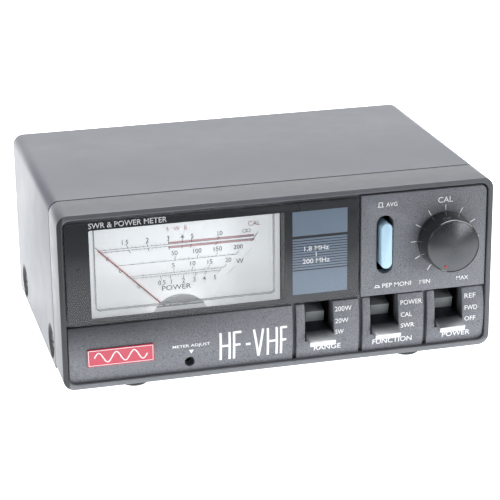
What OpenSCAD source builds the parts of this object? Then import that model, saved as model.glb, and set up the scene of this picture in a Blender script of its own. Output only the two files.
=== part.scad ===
// SWR and power meter: sheet steel case, moulded front, moving-coil meter,
// three rocking lever switches, a calibration control and a directional coupler.
// X is across the front, Y runs from the front to the back, Z is up.

/* [Case] */
// Width of the case
body_w = 155; // [153:0.5:157]
// Height of the case above its feet
body_h = 63; // [63:0.5:65]
// Depth of the case, without the knob and the sockets
body_d = 103; // [103:1:120]
// Height of the rubber feet
foot_h = 5; // [4:0.5:8]
// Depth of the moulded front bezel
bezel_d = 16.6; // [15:0.1:18]
// Thickness of the cover's sheet steel
sheet = 1; // [0.8:0.1:1.2]
// Radius of the case's long outer edges
edge_r = 4; // [3:0.5:4.5]
// Width of the bezel's rim at its front
rim = 1.9; // [1.7:0.1:2.1]

/* [Meter] */
// Distance of the meter's pivot from the middle of the front
pivot_x = -33; // [-34:0.5:-32]
// Height of the meter's pivot
pivot_h = 15.7; // [15:0.1:16.4]
// Length of the pointer from its pivot
pointer_len = 39.5; // [36:0.5:40]
// Swing of the pointer over the dial
pointer_swing = 90; // [60:5:90]
// Depth of the dial behind the front
dial_d = 18.4; // [18.4:0.1:18.6]

/* [Controls] */
// Distance of the calibration knob from the middle of the front
knob_x = 60; // [58:0.5:61]
// Height of the calibration knob's axis
knob_h = 41.6; // [41:0.1:43]
// Radius of the calibration knob at the panel
knob_r = 10.4; // [9:0.1:11]
// How far the knob stands out of the case
knob_out = 9; // [8:0.5:12]
// Pitch of the three lever switches
switch_pitch = 24.05; // [23.8:0.05:24.1]
// Distance of the first lever switch from the middle of the front
switch_x = 13.6; // [13.4:0.1:13.7]
// Height of the levers' pivots
lever_h = 15.2; // [15:0.1:15.4]
// Length of a lever from its pivot to its tip
lever_len = 22.6; // [20:0.2:24]
// Swing of a lever from its lowest to its highest position
lever_swing = 31; // [24:1:31]
// Travel of the push button
push_travel = 3; // [2:0.5:3]

/* [Sockets] */
// How far the coaxial sockets stand out of the back of the case
port_out = 15; // [13:0.5:16]
// Radius over the sockets' thread
port_r = 7.94; // [7.9:0.01:8]
// Distance of the transmitter socket from the middle
tx_x = -38; // [-40:1:-36]
// Distance of the aerial socket from the middle
ant_x = 0; // [-1:1:2]
// Height of the sockets' axes
port_h = 34; // [32:1:36]

/* [Hidden] */

$fn = 64;
eps = 0.01;
half_w = body_w / 2;
front_y = knob_out - (knob_out + body_d + port_out) / 2;

// Panel: depths behind the front of the bezel
lens_front = 0.4;
pad_front = 0.6;
plate_front = 3;
plate_back = 5;
strip_crown = 0.3;
strip_r = 43.1;
strip_h = [2, 22.2];
strip_mid = (strip_h[0] + strip_h[1]) / 2;
panel_split = 28.7;
groove_w = 1.35;
groove_x = [4.8, 29.15, 53.2];
panel_edge = half_w - rim - 0.3;
window_x = [-67.4, 2.9];
window_h = [23.7, 57.6];
slot_x = 37.75;
slot_h = 41.65;
slot_w = 6;
slot_len = 21.3;
switch_gap = 5;
switch_open_h = [8.5, 22.5];
adjust_h = 5.6;
adjust_r = 1.75;
zero_r = 1.4;
hub_r = 11;
hub_h = 15;
post_x = 9.4;
touch = 0.05;

// Case
seam = 0.8;
wall_d = [101, 102.2];
flange_x = half_w - 3.2;
flange_t = 1.2;
dimple_r = 6.2;
dimple_d = 2.2;
dimple_h = 9;
dimple_at = [25, 88];
foot_x = 50.4;
foot_d = [13.4, 88];
foot_r = 5.6;
cover_h0 = 1.6;
spigot_h0 = 17;

// Meter
case_half = 39;
case_wall = 1.2;
can_half = 20;
nose_half = 9;
swing_half = pointer_swing / 2;
pin_offset = 0.85;

// Lever switches
lever_d = 17;
rest_tilt = lever_swing / 2;
drum_half = 3.5;
cap_half = 4.75;
drum_len = 10.8;
body_half = 7;
pin_r = 1.25;
run = 0.05;

// Boards and the directional coupler
board_d = [27, 28.6];
box_x = [-56, 18];
box_h = [18, 50];
box_d = [70, 101];
box_wall = 1.5;
contact_r = 2;
jack_x = 50;
jack_h = 34;
jack_r = 1.78;

function at(d) = front_y + d;
function up(h) = foot_h + h;

// Flat outline with round corners, with its lower left corner at the origin
module outline(w, t, r) {
    if (r == 0) {
        square([w, t]);
    } else {
        translate([r, 0]) square([w - 2 * r, t]);
        translate([0, r]) square([w, t - 2 * r]);
        for (x = [r, w - r], y = [r, t - r]) translate([x, y]) circle(r);
    }
}

// Block that spans x across, h above the case's bottom and d behind its front
module slab(x, h, d, r = 0) {
    translate([x[0], at(d[1]), up(h[0])])
        rotate([90, 0, 0])
            linear_extrude(d[1] - d[0])
                outline(x[1] - x[0], h[1] - h[0], r);
}

// Round bar that runs from front to back
module bar(x, h, d, r) {
    translate([x, at(d[1]), up(h)])
        rotate([90, 0, 0])
            cylinder(h = d[1] - d[0], r = r);
}

// Round tube that runs from front to back
module tube(x, h, d, r_out, r_in) {
    difference() {
        bar(x, h, d, r_out);
        bar(x, h, [d[0] - 1, d[1] + 1], r_in);
    }
}

// Point on the curve from a to d that leaves a towards b and reaches d from c
function on_curve(a, b, c, d, t) =
    pow(1 - t, 3) * a + 3 * t * pow(1 - t, 2) * b + 3 * t * t * (1 - t) * c + pow(t, 3) * d;

// Skin between rings of points, with both ends closed
module skin(rings, sides) {
    n = len(rings) - 1;
    walls = [for (i = [0 : n - 1], k = [0 : sides - 1])
        let (m = (k + 1) % sides)
        [i * sides + k, i * sides + m, (i + 1) * sides + m, (i + 1) * sides + k]];
    start = [for (k = [sides - 1 : -1 : 0]) k];
    end = [for (k = [0 : sides - 1]) n * sides + k];
    polyhedron(points = [for (ring = rings) each ring], faces = concat(walls, [start, end]));
}

// Round lead between two points, given as [x, height, depth], that leaves both along Y
module lead(p, q, lift, r) {
    sides = 8;
    steps = 16;
    a = [p[0], at(p[2]), up(p[1])];
    d = [q[0], at(q[2]), up(q[1])];
    b = a + [0, -lift[0], 0];
    c = d + [0, lift[1], 0];
    rings = [for (i = [0 : steps])
        let (t = i / steps,
            here = on_curve(a, b, c, d, t),
            ahead = on_curve(a, b, c, d, t + 0.01) - on_curve(a, b, c, d, t - 0.01),
            along = ahead / norm(ahead),
            side = cross(along, [0, 0, 1]) / norm(cross(along, [0, 0, 1])),
            rise = cross(side, along))
        [for (k = [0 : sides - 1])
            here + r * cos(360 * k / sides) * side + r * sin(360 * k / sides) * rise]];
    skin(rings, sides);
}

// ---------- Case ----------

module bezel_ring(inset, x_wall, d, r) {
    difference() {
        slab([-half_w + inset, half_w - inset], [inset, body_h - inset], d, r);
        slab([-half_w + x_wall, half_w - x_wall], [x_wall, body_h - x_wall],
            [d[0] - 1, d[1] + 1], r - 1.2);
    }
}

module front_bezel() {
    color("#45494f")
        difference() {
            union() {
                bezel_ring(0, rim, [0, bezel_d], edge_r);
                bezel_ring(1, rim + 1.5, [plate_back, plate_back + 2], 3);
                difference() {
                    bezel_ring(sheet + 0.3, sheet + 1.8, [bezel_d - 2, bezel_d + 4], 2.7);
                    slab([-half_w, half_w], [-1, spigot_h0], [bezel_d - 3, bezel_d + 5]);
                }
            }
            slab([pivot_x - 10, pivot_x + 10], [rim, 8], [plate_back - 1, plate_back + 3]);
            for (x = [-foot_x, foot_x])
                translate([x, at(foot_d[0]), up(-1)]) cylinder(h = 4, r = 1.7);
        }
}

// Raised pad of the lower strip, crowned from top to bottom
module strip_pad(x) {
    intersection() {
        slab(x, strip_h, [0, plate_front + eps]);
        translate([x[0], at(strip_crown + strip_r), up(strip_mid)])
            rotate([0, 90, 0])
                cylinder(h = x[1] - x[0], r = strip_r, $fn = 128);
    }
}

// Square bar on a corner, turned by 45 degrees, that cuts the corner off
module corner_cut(p, side, d) {
    translate([p[0], at(d[1]), up(p[1])])
        rotate([90, 45, 0])
            translate([-side / 2, -side / 2, 0])
                cube([side, side, d[1] - d[0]]);
}

module front_panel() {
    g = groove_w / 2;
    color("#5a5e66")
        difference() {
            union() {
                slab([-panel_edge, panel_edge], [rim + 0.3, body_h - 2.1],
                    [plate_front, plate_back], 2.3);
                slab([panel_split + 0.3, panel_edge], [22.9, 60.3],
                    [pad_front, plate_front + eps]);
                strip_pad([-panel_edge, groove_x[0] - g]);
                strip_pad([groove_x[0] + g, groove_x[1] - g]);
                strip_pad([groove_x[1] + g, groove_x[2] - g]);
                strip_pad([groove_x[2] + g, panel_edge]);
            }
            for (p = [[-panel_edge, strip_h[0]], [panel_edge, strip_h[0]], [panel_edge, 60.3]])
                corner_cut(p, 2.6, [-1, plate_front]);
            slab(window_x, window_h, [plate_front - 1, plate_back + 1], 1.5);
            slab([slot_x - slot_w / 2, slot_x + slot_w / 2],
                [slot_h - slot_len / 2, slot_h + slot_len / 2], [0, 6], slot_w / 2 - eps);
            for (i = [0 : 2])
                slab([switch_x + i * switch_pitch - switch_gap,
                        switch_x + i * switch_pitch + switch_gap + 0.4],
                    switch_open_h, [0, 6]);
            bar(knob_x, knob_h, [0, 6], 3.6);
            bar(pivot_x, adjust_h, [-1, 6], adjust_r);
        }
}

module window_lens() {
    color("#9fb2bd", 0.5)
        slab([-75, panel_split - 0.4], [23.1, 59.8], [lens_front, plate_front], 1.5);
}

module badge_plate() {
    color("#c83c50")
        difference() {
            slab([-69, -45.7], [8, 14.3], [-0.3, 1], 0.4);
            translate([-80, at(strip_crown + strip_r), up(strip_mid)])
                rotate([0, 90, 0])
                    cylinder(h = 40, r = strip_r + touch, $fn = 360);
        }
}

// Dished recess for a cover screw, open towards +Z, with its rim at z = 0
module dimple() {
    rotate_extrude()
        polygon([[1.7, -dimple_d - sheet], [dimple_r - 1.4, -dimple_d - sheet],
            [dimple_r + 0.6, -sheet], [dimple_r + 0.6, 0], [dimple_r, 0],
            [dimple_r - 1.8, -dimple_d], [1.7, -dimple_d]]);
}

module on_sides(depths) {
    for (d = depths, side = [-1, 1])
        translate([side * half_w, at(d), up(dimple_h)])
            rotate([0, 90 * side, 0])
                children();
}

module top_cover() {
    d0 = bezel_d + seam;
    color("#8d939d") {
        difference() {
            slab([-half_w, half_w], [0, body_h], [d0, body_d], edge_r);
            slab([-half_w + sheet, half_w - sheet], [0, body_h - sheet],
                [d0 - 1, body_d + 1], edge_r - sheet);
            slab([-half_w - 1, half_w + 1], [-1, cover_h0], [d0 - 1, body_d + 1]);
            slab([-half_w + sheet, half_w - sheet], [-1, 10], [d0 - 1, body_d + 1]);
            on_sides(dimple_at)
                translate([0, 0, -3]) cylinder(h = 6, r = dimple_r + 0.5);
        }
        on_sides(dimple_at) dimple();
    }
}

module screw(head_r, head_t, shaft_r, shaft_len) {
    difference() {
        union() {
            rotate_extrude()
                polygon([[0, 0], [head_r, 0], [head_r, head_t * 0.5],
                    [head_r * 0.7, head_t], [0, head_t]]);
            translate([0, 0, -shaft_len]) cylinder(h = shaft_len + eps, r = shaft_r);
        }
        for (a = [0, 90])
            rotate([0, 0, a])
                translate([-head_r * 0.5, -head_r * 0.11, head_t * 0.45])
                    cube([head_r, head_r * 0.22, head_t]);
    }
}

module cover_screws() {
    color("#26282b")
        on_sides(dimple_at)
            translate([0, 0, -dimple_d]) screw(3.1, 1.9, 1.5, 6);
}

module chassis() {
    d0 = bezel_d + seam;
    floor_t = flange_t;
    color("#b9bcc0")
        difference() {
            union() {
                slab([-flange_x, flange_x], [0, floor_t], [d0, wall_d[1]]);
                for (s = [-1, 1])
                    translate([s * (flange_x - flange_t / 2), 0, 0])
                        slab([-flange_t / 2, flange_t / 2], [0, 18], [d0 + 6, wall_d[1]]);
                slab([-half_w + 1.3, half_w - 1.3], [cover_h0, body_h - 1.3], wall_d, 2.5);
                slab([-flange_x, flange_x], [0, 8], wall_d);
                for (x = [-foot_x, foot_x]) {
                    slab([x - 7, x + 7], [rim, rim + 1.2], [7.5, d0 + 1.2]);
                    slab([x - 7, x + 7], [0, rim + 1.2], [d0, d0 + 1.2]);
                }
                for (x = [switch_x + 0.5 * switch_pitch, switch_x + 1.5 * switch_pitch])
                    slab([x - 3.5, x + 3.5], [0, 9], [board_d[1], board_d[1] + 1.2]);
            }
            for (x = [-foot_x, foot_x], d = foot_d)
                translate([x, at(d), up(-1)]) cylinder(h = 6, r = 1.5);
            on_sides(dimple_at) translate([0, 0, -6]) cylinder(h = 6, r = 1.5);
            for (x = [tx_x, ant_x]) {
                bar(x, port_h, [99, 104], 6.4);
                for (sx = [-9.1, 9.1], sh = [-9.1, 9.1])
                    bar(x + sx, port_h + sh, [99, 104], 1.5);
            }
            bar(jack_x, jack_h, [99, 104], 3 + touch);
            for (x = [switch_x + 0.5 * switch_pitch, switch_x + 1.5 * switch_pitch])
                bar(x, 6.5, [27, 31], 1.2);
        }
}

module rubber_feet() {
    color("#1f2022")
        for (x = [-foot_x, foot_x], d = foot_d)
            translate([x, at(d), 0])
                rotate_extrude()
                    polygon([[3.2, 0], [foot_r - 1.4, 0], [foot_r - 0.4, 0.7], [foot_r, 2],
                        [foot_r, foot_h], [1.7, foot_h], [1.7, 2.6], [3.2, 2.6]]);
}

module foot_screws() {
    color("#a9abad")
        for (x = [-foot_x, foot_x], d = foot_d)
            translate([x, at(d), 2.6])
                rotate([180, 0, 0]) screw(2.8, 1.6, 1.5, 6.6);
}

// ---------- Meter ----------

module case_outline(inset, d) {
    slab([pivot_x - case_half + inset, pivot_x + case_half - inset],
        [8 + inset, 58.5 - inset], d, 1.6);
    slab([pivot_x - nose_half + inset, pivot_x + nose_half - inset],
        [2.1 + inset, 12], d, 0);
}

module meter_case() {
    color("#d9e3e6", 0.4)
        difference() {
            union() {
                case_outline(0, [5.2, 19]);
                slab([pivot_x - 31.9, pivot_x + 31.9], [26.3, 57], [3.4, 5.2 + eps], 1.5);
            }
            case_outline(case_wall, [6.7, 20]);
            bar(pivot_x, adjust_h, [3, 8], zero_r + run);
        }
}

module meter_base() {
    color("#26282a")
        difference() {
            union() {
                case_outline(0, [19, 20.5]);
                slab([pivot_x - can_half, pivot_x + can_half], [2.1, 38], [19, 41], 2);
            }
            slab([pivot_x - can_half + 1.5, pivot_x + can_half - 1.5], [3.6, 36.5],
                [18, 39.5], 1);
            for (s = [-1, 1]) bar(pivot_x + s * 12, 28, [38, 42], 1.5);
        }
}

module dial_plate() {
    color("#eceff0")
        difference() {
            slab([pivot_x - 37.5, pivot_x + 37.5], [13, 57], [dial_d, 19], 1);
            bar(pivot_x, pivot_h, [dial_d - 1, 20], 3);
            for (s = [-1, 1]) bar(pivot_x + s * post_x, pivot_h, [dial_d - 1, 20], 1.1);
        }
}

module hub_cover() {
    color("#9aa0a4")
        intersection() {
            bar(pivot_x, hub_h, [13.4, 14.2], hub_r);
            slab([pivot_x - 12, pivot_x + 12], [9.5, 27], [13, 15]);
        }
}

module yoke_ring() {
    color("#8b8e92") {
        tube(pivot_x, pivot_h, [22, 32], 12, 8.3);
        for (s = [-1, 1])
            intersection() {
                slab([pivot_x + s * 7 - 1.6, pivot_x + s * 7 + 1.6],
                    [pivot_h - 2.6, pivot_h + 2.6], [22.5, 31.5]);
                tube(pivot_x, pivot_h, [22, 32], 8.3, 5.5 + touch);
            }
    }
    color("#8b8e92")
        for (s = [-1, 1]) bar(pivot_x + s * 10.2, pivot_h, [32, 39.5], 1.4);
}

module core_magnet() {
    color("#5b5d60") bar(pivot_x, pivot_h, [22.5, 31.5], 5.5);
}

module front_bridge() {
    color("#c8b678")
        difference() {
            union() {
                slab([pivot_x - 10.2, pivot_x + 10.2], [pivot_h - 1.8, pivot_h + 1.8],
                    [15.3, 16.3], 0);
                for (s = [-1, 1]) bar(pivot_x + s * post_x, pivot_h, [14.2, 22], 0.9);
            }
            bar(pivot_x, pivot_h, [14, 17], 1);
        }
}

module rear_bridge() {
    color("#c8b678")
        difference() {
            union() {
                slab([pivot_x - 7.8, pivot_x + 7.8], [pivot_h - 8, pivot_h - 6.2],
                    [33.9, 35.1], 0);
                slab([pivot_x - 1.8, pivot_x + 1.8], [pivot_h - 8, pivot_h + 2],
                    [35.1, 36.3], 0);
                for (s = [-1, 1]) bar(pivot_x + s * 6.9, pivot_h - 7.1, [32, 34.5], 0.9);
            }
            bar(pivot_x, pivot_h, [34, 37], 1);
        }
}

module jewel_screws() {
    color("#d8c07a") {
        difference() {
            bar(pivot_x, pivot_h, [14.3, 16.4], 1);
            bar(pivot_x, pivot_h, [15.8, 17], 0.6 + run);
        }
        difference() {
            bar(pivot_x, pivot_h, [34.9, 37.2], 1);
            bar(pivot_x, pivot_h, [34, 35.6], 0.6 + run);
        }
    }
}

// Turns its children with the pointer at rest, about the meter's pivot
module at_pivot(turn = 0) {
    translate([pivot_x, 0, up(pivot_h)])
        rotate([0, turn, 0])
            translate([0, 0, -foot_h])
                children();
}

module moving_coil() {
    color("#b5622c")
        at_pivot(-swing_half)
            difference() {
                slab([-1.5, 1.5], [-7.5, 7.5], [20.2, 33.4]);
                slab([-2, 2], [-6.6, 6.6], [21.4, 32.2]);
            }
}

module pivot_pins() {
    color("#c9ccce") {
        bar(pivot_x, pivot_h, [15.95, 20.2], 0.6);
        bar(pivot_x, pivot_h, [33.4, 35.45], 0.6);
    }
}

module pointer() {
    color("#c8333c")
        at_pivot(-swing_half)
            difference() {
                union() {
                    slab([-0.3, 0.3], [1, pointer_len], [17.2, 17.5]);
                    slab([-0.6, 0.6], [-8, -1], [17.2, 17.5]);
                    bar(0, 0, [17.2, 17.5], 1.8);
                    bar(0, -7, [17.05, 17.65], 1.3);
                }
                bar(0, 0, [17, 18], 0.6);
            }
}

// Flat spiral from r0 to r1 in the given number of turns
function spiral(r0, r1, turns, n) =
    [for (i = [0 : n])
        let (a = 360 * turns * i / n - 90, r = r0 + (r1 - r0) * i / n)
        [r * cos(a), r * sin(a)]];

module hairspring() {
    n = 96;
    outer = spiral(1.15, 3.7, 4, n);
    inner = spiral(1.0, 3.55, 4, n);
    color("#c3a76a")
        translate([pivot_x, at(16.95), up(pivot_h)])
            rotate([90, 0, 0])
                linear_extrude(0.4)
                    polygon(concat(outer, [for (i = [n : -1 : 0]) inner[i]]));
}

module zero_arm() {
    reach = pivot_h - adjust_h;
    color("#b9bcc0")
        at_pivot()
            difference() {
                union() {
                    bar(0, 0, [14.6, 15.1], 2.4);
                    slab([-0.8, 0.8], [-reach, -1.5], [14.6, 15.1]);
                    slab([-1.5, 1.5], [-reach - 2, -reach + 1.2], [14.6, 15.1]);
                    slab([-0.6, 0.6], [-4.2, -3.7], [15, 16.95]);
                }
                bar(0, 0, [14, 16], 1 + run);
                slab([-0.62, 0.62], [-reach - 3, -reach + 0.4], [14, 16]);
            }
}

module zero_screw() {
    color("#1d1e20")
        difference() {
            union() {
                bar(pivot_x, adjust_h, [5.4, 13.8], zero_r);
                bar(pivot_x, adjust_h, [6.9, 7.9], 2.3);
                bar(pivot_x, adjust_h - pin_offset, [13.7, 15.3], 0.5);
            }
            slab([pivot_x - 2, pivot_x + 2], [adjust_h - 0.3, adjust_h + 0.3], [5, 6.2]);
        }
}

module meter_terminals() {
    color("#c9a85a")
        for (s = [-1, 1]) {
            bar(pivot_x + s * 12, 28, [36, 46], 1.5);
            tube(pivot_x + s * 12, 28, [41, 43], 2.8, 1.5);
        }
}

module dial_lamp() {
    color("#f1ead0")
        translate([pivot_x + case_half + 0.4, at(14), up(47)])
            rotate([0, 90, 0]) {
                cylinder(h = 2.6, r = 2);
                translate([0, 0, 2.5]) cylinder(h = 3, r = 1.6);
            }
}

module lamp_holder() {
    x0 = pivot_x + case_half + 3;
    color("#2b2d30")
        difference() {
            slab([x0, x0 + 6], [43.5, 50.5], [plate_back, 18]);
            translate([x0 - 1, at(14), up(47)]) rotate([0, 90, 0]) cylinder(h = 4.5, r = 1.65);
        }
}

// ---------- Controls ----------

module cal_pot_body() {
    color("#7d8187")
        difference() {
            union() {
                bar(knob_x, knob_h, [plate_back, 13], 8);
                bar(knob_x, knob_h, [-2, plate_back + eps], 3.5);
                for (i = [-1 : 1])
                    slab([knob_x + i * 4 - 0.6, knob_x + i * 4 + 0.6],
                        [knob_h - 12, knob_h - 7], [9, 9.6]);
            }
            bar(knob_x, knob_h, [-3, 11.1], 3 + run);
        }
}

module cal_pot_nut() {
    color("#b8babd")
        difference() {
            translate([knob_x, at(pad_front), up(knob_h)])
                rotate([90, 0, 0]) cylinder(h = 1.8, r = 5.6, $fn = 6);
            bar(knob_x, knob_h, [-3, 3], 3.5);
        }
}

module cal_pot_shaft() {
    color("#c4c6c9") bar(knob_x, knob_h, [2 - knob_out, 11], 3);
}

module cal_knob() {
    t = knob_out + 0.1;
    color("#303338")
        translate([knob_x, at(0.1), up(knob_h)])
            rotate([90, 0, 0])
                rotate_extrude($fn = 96)
                    polygon([[3, t - 2], [0, t - 2], [0, t], [3, t - 0.1], [6, t - 0.4],
                        [9, t - 0.9], [9.4, t - 1], [9.65, t - 1.3],
                        [knob_r, 0.4], [knob_r - 0.2, 0], [8, 0], [8, 3], [3, 3]]);
}

module avg_button() {
    color("#86b4dc")
        slab([slot_x - 2.05, slot_x + 2.05], [slot_h - 8.3, slot_h + 8.3], [-1.5, 7], 2.04);
}

module push_plunger() {
    color("#e4e5e2")
        slab([slot_x - 1.5, slot_x + 1.5], [slot_h - 1.5, slot_h + 1.5], [7, 20.5]);
}

// Ring of points round a coil's wire at angle a
function coil_ring(a, r, wire, pitch, sides) =
    [for (k = [0 : sides - 1])
        let (b = 360 * k / sides, rr = r + wire * cos(b))
        [rr * cos(a), rr * sin(a), pitch * a / 360 + wire * sin(b)]];

module coil(r, wire, height, turns) {
    sides = 8;
    steps = 16 * turns;
    pitch = (height - 2 * wire) / turns;
    translate([0, 0, wire])
        skin([for (i = [0 : steps]) coil_ring(360 * turns * i / steps, r, wire, pitch, sides)],
            sides);
}

module push_spring() {
    color("#c8cacc")
        translate([slot_x, at(13.8), up(slot_h)])
            rotate([90, 0, 0]) coil(2.7, 0.25, 6.6, 5);
}

module push_switch_body() {
    color("#2a2c2f")
        difference() {
            slab([slot_x - 4, slot_x + 4], [slot_h - 4.5, slot_h + 4.5], [14, board_d[0]]);
            slab([slot_x - 1.8, slot_x + 1.8], [slot_h - 1.8, slot_h + 1.8], [13, 24.5]);
        }
}

module switch_body(x) {
    h = lever_h;
    color("#232528")
        difference() {
            slab([x - body_half, x + body_half], [h - 10.4, h + 10.4], [5.3, board_d[0]]);
            slab([x - 5.1, x + 5.1], [h - 9.2, h + 9.2], [5, 24]);
            translate([x - 8, at(lever_d), up(h)])
                rotate([0, 90, 0]) cylinder(h = 16, r = pin_r);
        }
}

// Turns its children with a lever at rest, about the pivot of the switch at x
module at_lever(x) {
    translate([x, at(lever_d), up(lever_h)])
        rotate([rest_tilt, 0, 0])
            children();
}

module lever(x) {
    color("#5f646b")
        at_lever(x)
            difference() {
                union() {
                    translate([-drum_half, -drum_len, -5.5])
                        cube([2 * drum_half, drum_len - 4, 11]);
                    translate([-drum_half, -5, -3]) cube([2 * drum_half, 5, 6]);
                    translate([-drum_half, 0, 0])
                        rotate([0, 90, 0]) cylinder(h = 2 * drum_half, r = 4);
                }
                translate([-5, 0, 0])
                    rotate([0, 90, 0]) cylinder(h = 10, r = pin_r + run);
            }
}

module lever_cap(x) {
    color("#dfe2e4")
        at_lever(x) {
            translate([-cap_half, -lever_len, -1.1])
                cube([2 * cap_half, lever_len - drum_len - 0.8, 2.2]);
            translate([-drum_half + 0.2, -drum_len - 1.2, -1.3])
                cube([2 * drum_half - 0.4, 1.2, 2.6]);
        }
}

module switch_pins() {
    color("#c9ccce")
        for (i = [0 : 2])
            translate([switch_x + i * switch_pitch - body_half, at(lever_d), up(lever_h)])
                rotate([0, 90, 0]) cylinder(h = 2 * body_half, r = pin_r);
}

module detent_springs() {
    color("#c3a76a")
        for (i = [0 : 2])
            slab([switch_x + i * switch_pitch - 2.5, switch_x + i * switch_pitch + 2.5],
                [lever_h - 9.2, lever_h + 9.2], [22, 22.4]);
}

// ---------- Boards and coupler ----------

module control_board() {
    color("#2f6b45")
        difference() {
            slab([6, 72.6], [3.5, 56], board_d);
            for (x = [switch_x + 0.5 * switch_pitch, switch_x + 1.5 * switch_pitch])
                bar(x, 6.5, [26, 30], 1.2);
        }
}

module board_screws() {
    color("#b8babd")
        for (x = [switch_x + 0.5 * switch_pitch, switch_x + 1.5 * switch_pitch])
            translate([x, at(board_d[0]), up(6.5)])
                rotate([90, 0, 0]) screw(2.2, 1.4, 1.2, 4);
}

module capacitors() {
    color("#30425f")
        for (p = [[14, 46], [26, 46], [38, 34], [64, 50]])
            bar(p[0], p[1], [board_d[1], 38], 3.2);
}

module coupler_box() {
    color("#c5c8ca")
        difference() {
            slab(box_x, box_h, box_d);
            slab([box_x[0] + box_wall, box_x[1] - box_wall],
                [box_h[0] + box_wall, box_h[1] - box_wall], [box_d[0] - 1, box_d[1] - box_wall]);
            for (x = [tx_x, ant_x]) {
                bar(x, port_h, [98, 102], 6.4);
                for (sx = [-9.1, 9.1], sh = [-9.1, 9.1])
                    bar(x + sx, port_h + sh, [98, 102], 1.5);
            }
        }
}

module coupler_lid() {
    color("#b4b7ba") slab(box_x, box_h, [box_d[0] - 1.2, box_d[0]]);
}

module coupler_board() {
    color("#2f6b45") slab([tx_x + 6, ant_x - 6], [box_h[0] + box_wall, 21.1], [74, 97]);
}

module coupler_line() {
    color("#c9a85a")
        translate([tx_x - 3, at(86), up(port_h)])
            rotate([0, 90, 0]) cylinder(h = ant_x - tx_x + 6, r = 2.2);
}

module pickup_toroid() {
    color("#3a3c3e")
        translate([(tx_x + ant_x) / 2, at(86), up(port_h)])
            rotate([0, 90, 0])
                rotate_extrude()
                    translate([4, -3.5]) outline(4.5, 7, 0.6);
}

module coax_sockets() {
    tip = body_d + port_out;
    color("#cfd2d4")
        for (x = [tx_x, ant_x])
            difference() {
                union() {
                    slab([x - 12.7, x + 12.7], [port_h - 12.7, port_h + 12.7],
                        [wall_d[1], wall_d[1] + 1.6], 1.5);
                    bar(x, port_h, [wall_d[1] + 1, tip], port_r);
                }
                bar(x, port_h, [98, tip + 1], 6.2);
                for (sx = [-9.1, 9.1], sh = [-9.1, 9.1])
                    bar(x + sx, port_h + sh, [99, 105], 1.5);
            }
}

module socket_insulators() {
    color("#eae6dc")
        for (x = [tx_x, ant_x]) tube(x, port_h, [98, 108], 6.2, 1.6);
}

module socket_contacts() {
    color("#d6c07c")
        for (x = [tx_x, ant_x])
            difference() {
                union() {
                    bar(x, port_h, [108, 116.5], 2.7);
                    bar(x, port_h, [88.2, 108 + eps], 1.6);
                }
                bar(x, port_h, [108.5, 117], contact_r);
            }
}

module socket_screws() {
    color("#a9abad")
        for (x = [tx_x, ant_x], sx = [-9.1, 9.1], sh = [-9.1, 9.1])
            translate([x + sx, at(wall_d[1] + 1.6), up(port_h + sh)])
                rotate([-90, 0, 0]) screw(2.6, 1.7, 1.5, 6);
}

module dc_jack() {
    color("#26282b")
        difference() {
            union() {
                slab([jack_x - 5, jack_x + 5], [jack_h - 5, jack_h + 5], [88, wall_d[0]]);
                bar(jack_x, jack_h, [wall_d[0] - eps, body_d + 2.6], 3);
                translate([jack_x, at(wall_d[1] + 2), up(jack_h)])
                    rotate([90, 0, 0]) cylinder(h = 2, r = 4.6, $fn = 24);
            }
            bar(jack_x, jack_h, [91.6, body_d + 3], jack_r);
        }
}

module inner_leads() {
    board = board_d[1] + 0.1;
    color("#a23a3a") {
        lead([tx_x + 10, 44, box_d[0] - 1.3], [16, 38, board], [14, 14], 0.8);
        lead([ant_x - 10, 40, box_d[0] - 1.3], [20, 34, board], [14, 14], 0.8);
        lead([jack_x - 2, jack_h, 88], [50, 26, board], [20, 20], 0.8);
        lead([jack_x + 2, jack_h, 88], [54, 22, board], [20, 20], 0.8);
    }
}

front_bezel();
front_panel();
window_lens();
badge_plate();
top_cover();
chassis();
rubber_feet();
foot_screws();
cover_screws();
meter_case();
meter_base();
dial_plate();
hub_cover();
yoke_ring();
core_magnet();
front_bridge();
rear_bridge();
jewel_screws();
moving_coil();
pivot_pins();
pointer();
hairspring();
zero_arm();
zero_screw();
meter_terminals();
dial_lamp();
lamp_holder();
cal_pot_body();
cal_pot_nut();
cal_pot_shaft();
cal_knob();
avg_button();
push_plunger();
push_spring();
push_switch_body();
switch_body(switch_x);  // range_switch_body
switch_body(switch_x + switch_pitch);  // function_switch_body
switch_body(switch_x + 2 * switch_pitch);  // power_switch_body
lever(switch_x);  // range_lever
lever(switch_x + switch_pitch);  // function_lever
lever(switch_x + 2 * switch_pitch);  // power_lever
lever_cap(switch_x);  // range_lever_cap
lever_cap(switch_x + switch_pitch);  // function_lever_cap
lever_cap(switch_x + 2 * switch_pitch);  // power_lever_cap
switch_pins();
detent_springs();
control_board();
board_screws();
capacitors();
coupler_box();
coupler_lid();
coupler_board();
coupler_line();
pickup_toroid();
coax_sockets();
socket_insulators();
socket_contacts();
socket_screws();
dc_jack();
inner_leads();
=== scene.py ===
import math

import bpy
from mathutils import Matrix, Vector


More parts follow.
